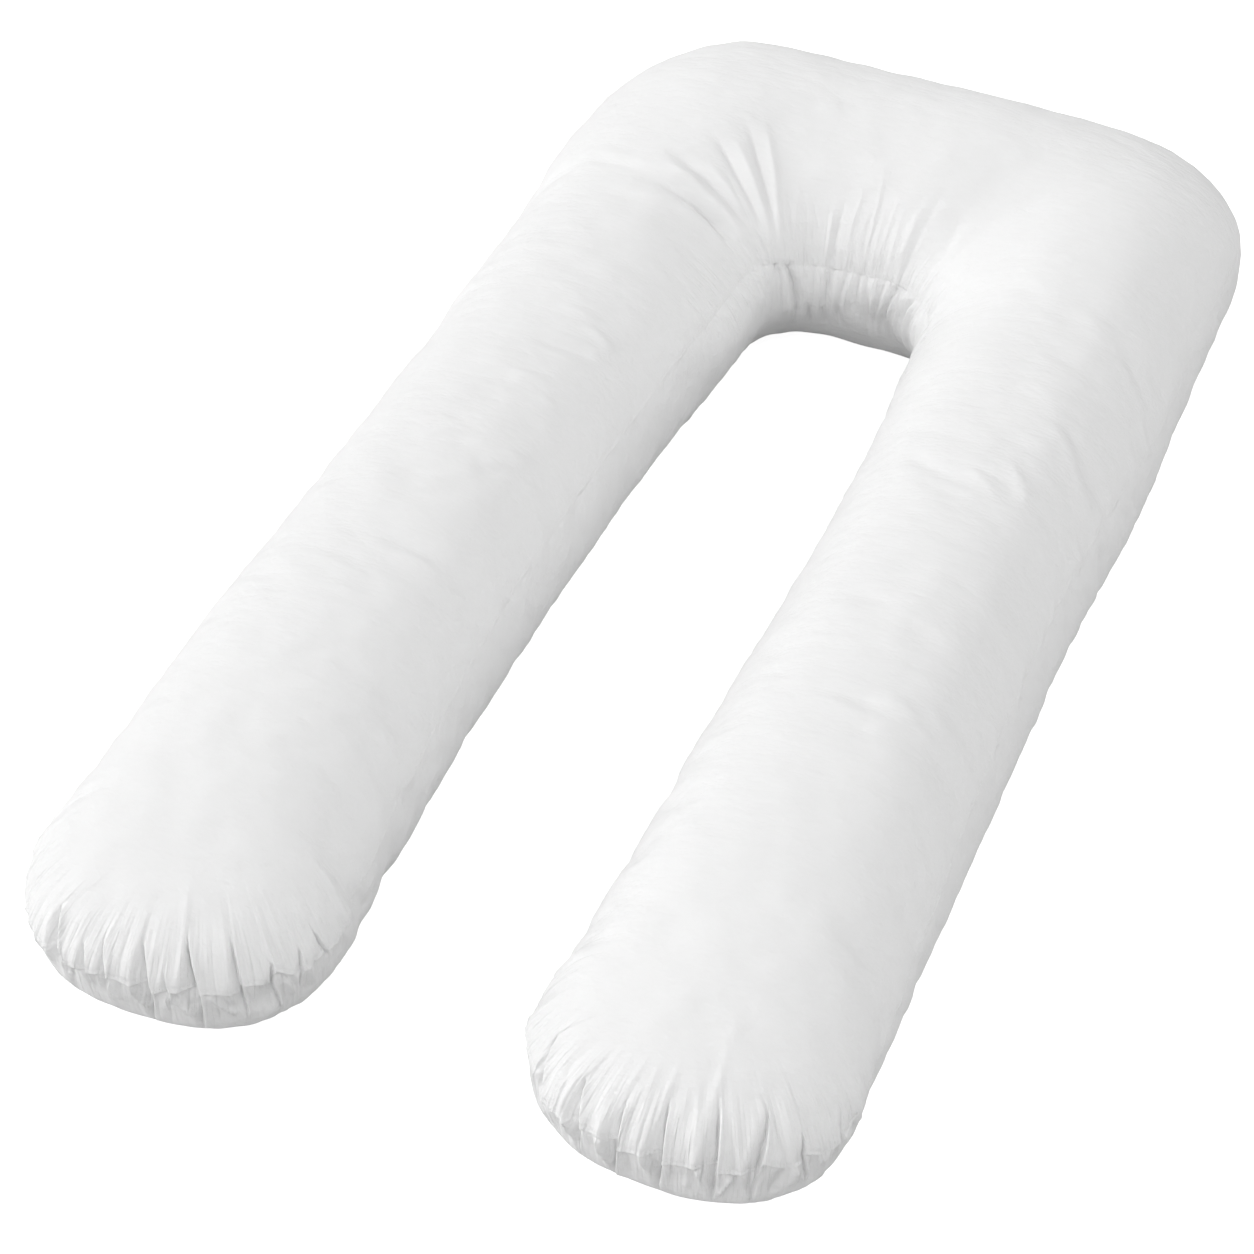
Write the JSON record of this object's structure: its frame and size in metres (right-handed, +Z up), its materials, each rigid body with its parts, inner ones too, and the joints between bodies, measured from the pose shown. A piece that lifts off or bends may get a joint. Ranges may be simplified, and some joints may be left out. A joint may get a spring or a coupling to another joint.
{
  "type": "pregnancy pillow",
  "caption": "U-shaped filled body pillow: a head bar and long legs with round gathered ends, top and bottom panels joined by a seam all round.",
  "frame": {"origin": "on the resting plane, under the middle of the pillow's bounding box", "axes": "+Y along the legs from their ends to the head bar, +Z up through the thickness, +X to the right seen with the head bar away"},
  "size_m": [0.7454, 1.3998, 0.228],
  "materials": {
    "white_cotton": "matt white plain-woven cotton, slightly brushed"
  },
  "bodies": {
    "root": {"pillow": "white_cotton"}
  },
  "joints": []
}
